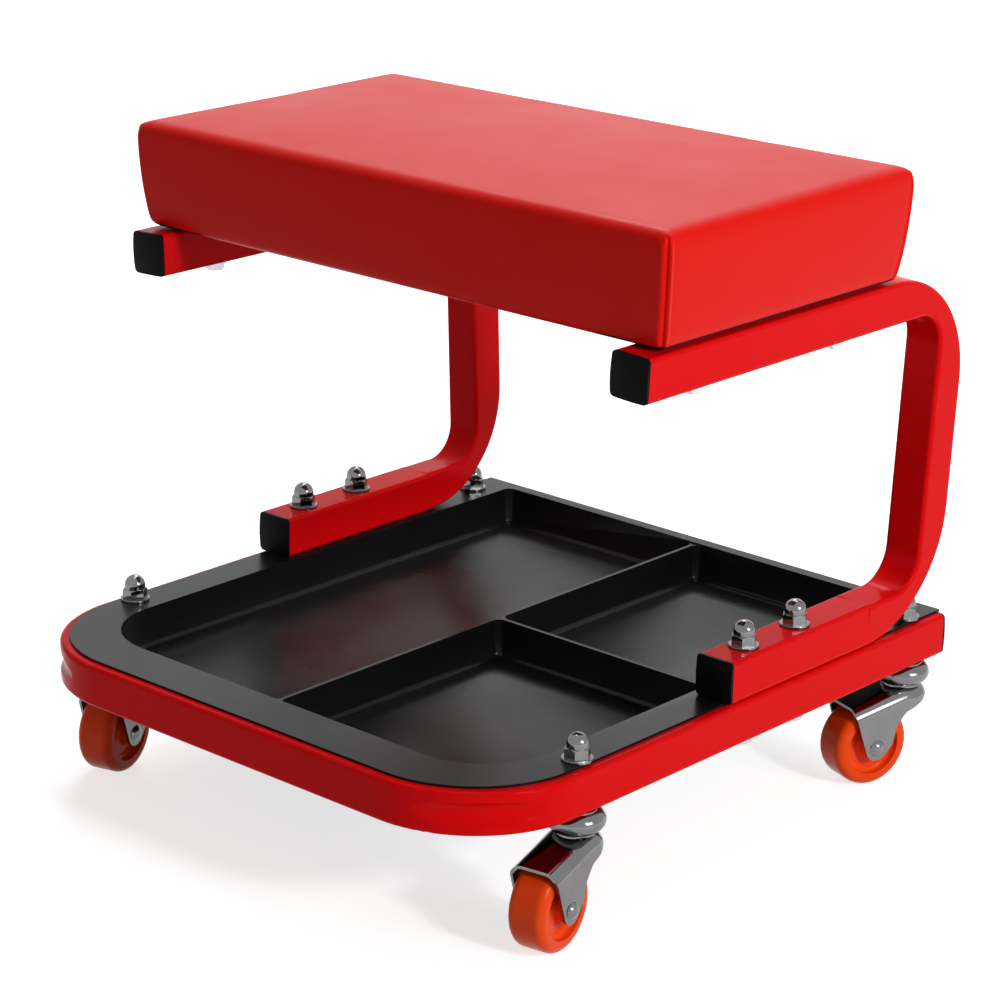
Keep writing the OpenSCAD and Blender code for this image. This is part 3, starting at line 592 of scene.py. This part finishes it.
def fold_pleats(bm):
    """A groove down each upright corner, with the folded lip of the side face beside it."""
    bm.normal_update()
    steps = []
    for vertex in bm.verts:
        side_x, side_y, short_x, short_y = corner_place(vertex.co)
        if max(short_x, short_y) > pleat_reach:
            continue
        from_centre = Vector((corner_r - short_x, corner_r - short_y))
        along = corner_r * (math.atan2(from_centre.y, from_centre.x) - pleat_angle)
        if short_x > corner_r:
            along = short_x - corner_r + corner_r * (math.pi / 2 - pleat_angle)
        elif short_y > corner_r:
            along = -(short_y - corner_r) - corner_r * pleat_angle
        lip = hump(along, 1.3 * mm, -2.0 * mm, 1.6 * mm)
        groove = hump(along, -1.0 * mm, 0, 0.7 * mm)
        roll = hump(along, 0.8 * mm, 3.0 * mm, 2.4 * mm)
        fade = part_of(vertex.co.z, shoulder + 5 * mm, shoulder - 4 * mm)
        foot = part_of(vertex.co.z, seat_low.z, seat_low.z + bottom_r)
        outward = Vector((side_x * max(corner_r - short_x, 0),
                          side_y * max(corner_r - short_y, 0), 0))
        if outward.length > 0:
            steps.append((vertex, outward.normalized() * (lip + groove + roll) * fade * foot))
    for vertex, step in steps:
        vertex.co += step
    return len(steps)


print(fold_pleats(bm), "points moved for the pleats")


# %% The fuller form
def fill_out(bm):
    """The cover stands fuller than the CAD solid at its ends and top, as in the photograph."""
    for vertex in bm.verts:
        place = vertex.co - seat_middle
        across, along = place.x / half_x, place.y / half_y
        rise = (vertex.co.z - seat_low.z) / (seat_high.z - seat_low.z)
        vertex.co.x += (2.6 + 0.8 * rise) * mm * across
        vertex.co.y += 0.6 * mm * along
        vertex.co.z += (4.8 + 1.1 * across + 0.6 * along) * mm * min(max(rise, 0), 1)


def keep_off_foam(bm, gap):
    """Move points that are nearer to the foam than the cover's thickness out to it."""
    foam = bmesh.new()
    foam.from_mesh(nodes["seat_foam"].data)
    bmesh.ops.remove_doubles(foam, verts=foam.verts, dist=weld)
    bmesh.ops.recalc_face_normals(foam, faces=foam.faces)
    tree = BVHTree.FromBMesh(foam)
    lowest = min(v.co.z for v in foam.verts)
    moved = 0
    for vertex in bm.verts:
        if vertex.co.z < lowest:
            continue
        near, normal, _, distance = tree.find_nearest(vertex.co)
        depth = (vertex.co - near).dot(normal)
        if distance < gap or depth < 0:
            vertex.co = near + normal * gap
            moved += 1
    foam.free()
    return moved


vinyl_gap = 1.0 * mm
fill_out(bm)
print(keep_off_foam(bm, vinyl_gap), "points moved off the foam")

# %% The hem
hem, bottom_band, bump_size = 33 * mm, 1 * mm, 17 * mm
pull_top, pull_depth, pull_fade = 22 * mm, 0.55 * mm, 9 * mm


def pull_to_hem(bm):
    """Shallow pulls above the bottom edge, where the staples draw the cover under the board."""
    for vertex in bm.verts:
        rise = vertex.co.z - seat_low.z
        place = vertex.co - seat_middle
        if rise < bottom_band or rise > pull_top:
            continue
        wave = noise.noise(Vector((place.x, place.y, 0)) / bump_size)
        depth = pull_depth * wave * math.exp(-rise / pull_fade) * min(rise / bottom_r, 1)
        outward = Vector((place.x / half_x ** 2, place.y / half_y ** 2, 0)).normalized()
        vertex.co += outward * depth


def open_bottom(bm):
    """Cut away the bottom inside the hem, so that the board shows."""
    edge_x, edge_y = half_x - taper - hem, half_y - taper - hem
    band_top = seat_low.z + bottom_band
    for axis, reach in ((Vector((1, 0, 0)), edge_x), (Vector((0, 1, 0)), edge_y)):
        for side in (-1, 1):
            low = [f for f in bm.faces if all(v.co.z < band_top for v in f.verts)]
            parts = set(low) | {e for f in low for e in f.edges} | {v for f in low for v in f.verts}
            bmesh.ops.bisect_plane(bm, geom=list(parts), plane_no=axis, dist=0.05 * mm,
                                   plane_co=seat_middle + axis * reach * side)
    inside = []
    for face in bm.faces:
        centre = face.calc_center_median()
        middle = centre - seat_middle
        if centre.z < band_top and abs(middle.x) < edge_x and abs(middle.y) < edge_y:
            inside.append(face)
    bmesh.ops.delete(bm, geom=inside, context="FACES")


pull_to_hem(bm)
for vertex in bm.verts:
    vertex.co.z = max(vertex.co.z, seat_low.z)
open_bottom(bm)
bmesh.ops.recalc_face_normals(bm, faces=bm.faces)
bm.to_mesh(cushion.data)
bm.free()
print("the hem is", round(hem / mm), "mm wide")

# %% The finished cushion
cushion.data.materials.clear()
cushion.data.materials.append(red_vinyl)
cushion.data.shade_smooth()
vinyl = cushion.modifiers.new("vinyl_thickness", "SOLIDIFY")
vinyl.thickness, vinyl.offset = 0.9 * mm, -1
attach(cushion, "frame")
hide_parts("seat_cover")
print("the cushion has", len(cushion.data.polygons), "faces")
